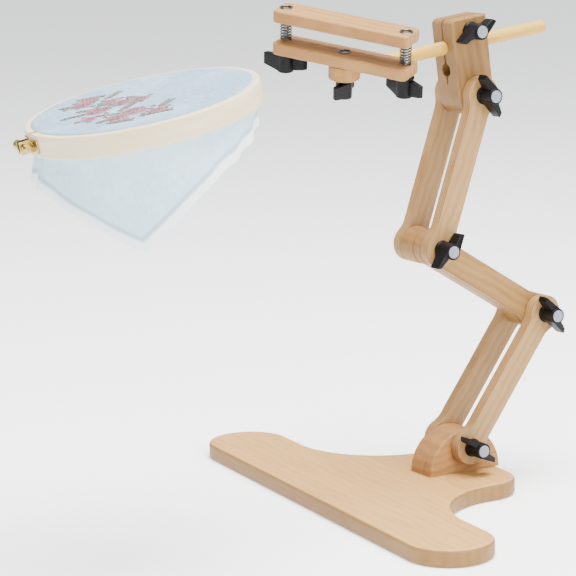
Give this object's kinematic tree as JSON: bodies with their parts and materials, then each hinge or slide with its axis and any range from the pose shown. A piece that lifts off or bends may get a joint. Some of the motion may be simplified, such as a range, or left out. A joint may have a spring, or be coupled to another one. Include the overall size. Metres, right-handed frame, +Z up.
{
  "type": "embroidery hoop on stand",
  "caption": "Jointed wooden table stand with a spring-loaded jaw clamp and wing knobs, and a round wooden embroidery hoop with a fabric square stretched in it.",
  "frame": {"origin": "on the underside of the base plate, midway along its two lobes", "axes": "+Z up; +X along the base plate; -Y is the front, where the straight edge and the clamp point"},
  "size_m": [0.52, 0.6355, 0.5148],
  "materials": {
    "beech": "satin",
    "dowel_wood": "satin",
    "hoop_beech": "satin",
    "knob_plastic": "satin",
    "knob_cap": "satin",
    "steel": "satin",
    "brass": "satin",
    "linen": "matte"
  },
  "bodies": {
    "base": {"base_plate": "beech"},
    "tower": {"pivot_block_core": "beech", "pivot_block_cheek": "beech", "base_bolt": "steel", "base_washer": "steel"},
    "lower_arm": {"lower_arm_far_slat": "beech", "lower_arm_near_slat": "beech", "base_pivot_bolt": "steel", "base_pivot_washer": "steel", "lower_elbow_pivot_bolt": "steel", "lower_elbow_pivot_washer": "steel"},
    "middle_arm": {"middle_arm_core": "beech", "middle_arm_cheek": "beech"},
    "upper_arm": {"upper_arm_far_slat": "beech", "upper_arm_near_slat": "beech", "upper_elbow_pivot_bolt": "steel", "upper_elbow_pivot_washer": "steel", "head_pivot_bolt": "steel", "head_pivot_washer": "steel"},
    "head": {"head_block": "beech", "head_clamp_bolt": "steel"},
    "clamp_rod": {"rod": "dowel_wood"},
    "disc": {"swivel_disc": "dowel_wood"},
    "clamp": {"lower_jaw": "beech", "swivel_bolt": "steel", "jaw_spring_left": "steel", "jaw_spring_right": "steel"},
    "top_jaw": {"upper_jaw": "beech", "jaw_bolt_left": "steel", "jaw_bolt_right": "steel"},
    "hoop": {"hoop_inner_ring": "hoop_beech", "stretched_cloth": "linen", "hanging_cloth": "linen"},
    "outer_hoop": {"hoop_outer_ring": "hoop_beech", "tension_bracket_near": "brass", "tension_bracket_far": "brass", "tension_rivets_near": "brass", "tension_rivets_far": "brass", "tension_nut": "brass"},
    "thumbscrew": {"tension_screw": "brass"},
    "base_knob_turns": {"base_knob": "knob_plastic", "base_knob_cap": "knob_cap"},
    "lower_elbow_knob_turns": {"lower_elbow_knob": "knob_plastic", "lower_elbow_knob_cap": "knob_cap"},
    "upper_elbow_knob_turns": {"upper_elbow_knob": "knob_plastic", "upper_elbow_knob_cap": "knob_cap"},
    "head_knob_turns": {"head_knob": "knob_plastic", "head_knob_cap": "knob_cap"},
    "head_clamp_knob_turns": {"head_clamp_knob": "knob_plastic", "head_clamp_knob_cap": "knob_cap"},
    "jaw_knob_left_turns": {"jaw_knob_left": "knob_plastic", "jaw_knob_left_cap": "knob_cap"},
    "jaw_knob_right_turns": {"jaw_knob_right": "knob_plastic", "jaw_knob_right_cap": "knob_cap"},
    "swivel_knob_turns": {"swivel_knob": "knob_plastic", "swivel_knob_cap": "knob_cap"}
  },
  "joints": [
    {"name": "tower_turn", "type": "hinge", "parent": "base", "child": "tower", "pos_m": [0, 0.138, 0], "axis": [0, 0, 1], "range_deg": [-30, 30]},
    {"name": "base_pivot", "type": "hinge", "parent": "tower", "child": "lower_arm", "pos_m": [0, 0.138, 0.047], "axis": [0.9966, 0.0819, 0], "range_deg": [-25, 30]},
    {"name": "lower_elbow", "type": "hinge", "parent": "lower_arm", "child": "middle_arm", "pos_m": [-0.00788, 0.23384, 0.17985], "axis": [-0.9966, -0.0819, 0], "range_deg": [-30, 40]},
    {"name": "upper_elbow", "type": "hinge", "parent": "middle_arm", "child": "upper_arm", "pos_m": [0.00321, 0.09901, 0.26146], "axis": [0.9966, 0.0819, 0], "range_deg": [-35, 40]},
    {"name": "head_pivot", "type": "hinge", "parent": "upper_arm", "child": "head", "pos_m": [-0.0011, 0.15141, 0.4168], "axis": [0.9966, 0.0819, 0], "range_deg": [-30, 30]},
    {"name": "rod_slide", "type": "slide", "parent": "head", "child": "clamp_rod", "axis": [0.0812, -0.9881, -0.1305], "range_m": [-0.06, 0.08]},
    {"name": "clamp_roll", "type": "hinge", "parent": "clamp_rod", "child": "disc", "pos_m": [0.01125, 0.0012, 0.4484], "axis": [0.0812, -0.9881, -0.1305], "range_deg": [-40, 40]},
    {"name": "clamp_swivel", "type": "hinge", "parent": "disc", "child": "clamp", "pos_m": [0.01125, 0.0012, 0.4484], "axis": [0.2616, -0.1052, 0.9594], "range_deg": [-60, 30]},
    {"name": "jaw_slide", "type": "slide", "parent": "clamp", "child": "top_jaw", "axis": [0.2616, -0.1052, 0.9594], "range_m": [-0.008, 0], "deforming": ["jaw_spring_left", "jaw_spring_right"]},
    {"name": "hoop_to_jaws", "type": "slide", "parent": "clamp", "child": "hoop", "axis": [-0.2231, 0.9747, -0.0103], "range_m": [0, 0.14]},
    {"name": "outer_ring_lift", "type": "slide", "parent": "hoop", "child": "outer_hoop", "axis": [-0.017, 0.222, -0.9749], "range_m": [-0.04, 0]},
    {"name": "thumbscrew_turn", "type": "hinge", "parent": "outer_hoop", "child": "thumbscrew", "pos_m": [0.09894, -0.37472, 0.40514], "axis": [0.9961, -0.0812, -0.0359], "continuous": true},
    {"name": "base_knob_turn", "type": "hinge", "parent": "lower_arm", "child": "base_knob_turns", "pos_m": [0.0306, 0.14052, 0.047], "axis": [0.9966, 0.0819, 0], "continuous": true},
    {"name": "lower_elbow_knob_turn", "type": "hinge", "parent": "lower_arm", "child": "lower_elbow_knob_turns", "pos_m": [0.02272, 0.23636, 0.17985], "axis": [0.9966, 0.0819, 0], "continuous": true},
    {"name": "upper_elbow_knob_turn", "type": "hinge", "parent": "upper_arm", "child": "upper_elbow_knob_turns", "pos_m": [0.0338, 0.10152, 0.26146], "axis": [0.9966, 0.0819, 0], "continuous": true},
    {"name": "head_knob_turn", "type": "hinge", "parent": "upper_arm", "child": "head_knob_turns", "pos_m": [0.02949, 0.15393, 0.4168], "axis": [0.9966, 0.0819, 0], "continuous": true},
    {"name": "head_clamp_knob_turn", "type": "hinge", "parent": "head", "child": "head_clamp_knob_turns", "pos_m": [0.01799, 0.14434, 0.48224], "axis": [0.9966, 0.0819, 0], "continuous": true},
    {"name": "jaw_knob_left_turn", "type": "hinge", "parent": "clamp", "child": "jaw_knob_left_turns", "pos_m": [-0.04094, -0.03766, 0.46597], "axis": [0.2616, -0.1052, 0.9594], "continuous": true},
    {"name": "jaw_knob_right_turn", "type": "hinge", "parent": "clamp", "child": "jaw_knob_right_turns", "pos_m": [0.06725, 0.03853, 0.44483], "axis": [0.2616, -0.1052, 0.9594], "continuous": true},
    {"name": "swivel_knob_turn", "type": "hinge", "parent": "clamp", "child": "swivel_knob_turns", "pos_m": [0.00927, 0.002, 0.44116], "axis": [0.2616, -0.1052, 0.9594], "continuous": true}
  ]
}
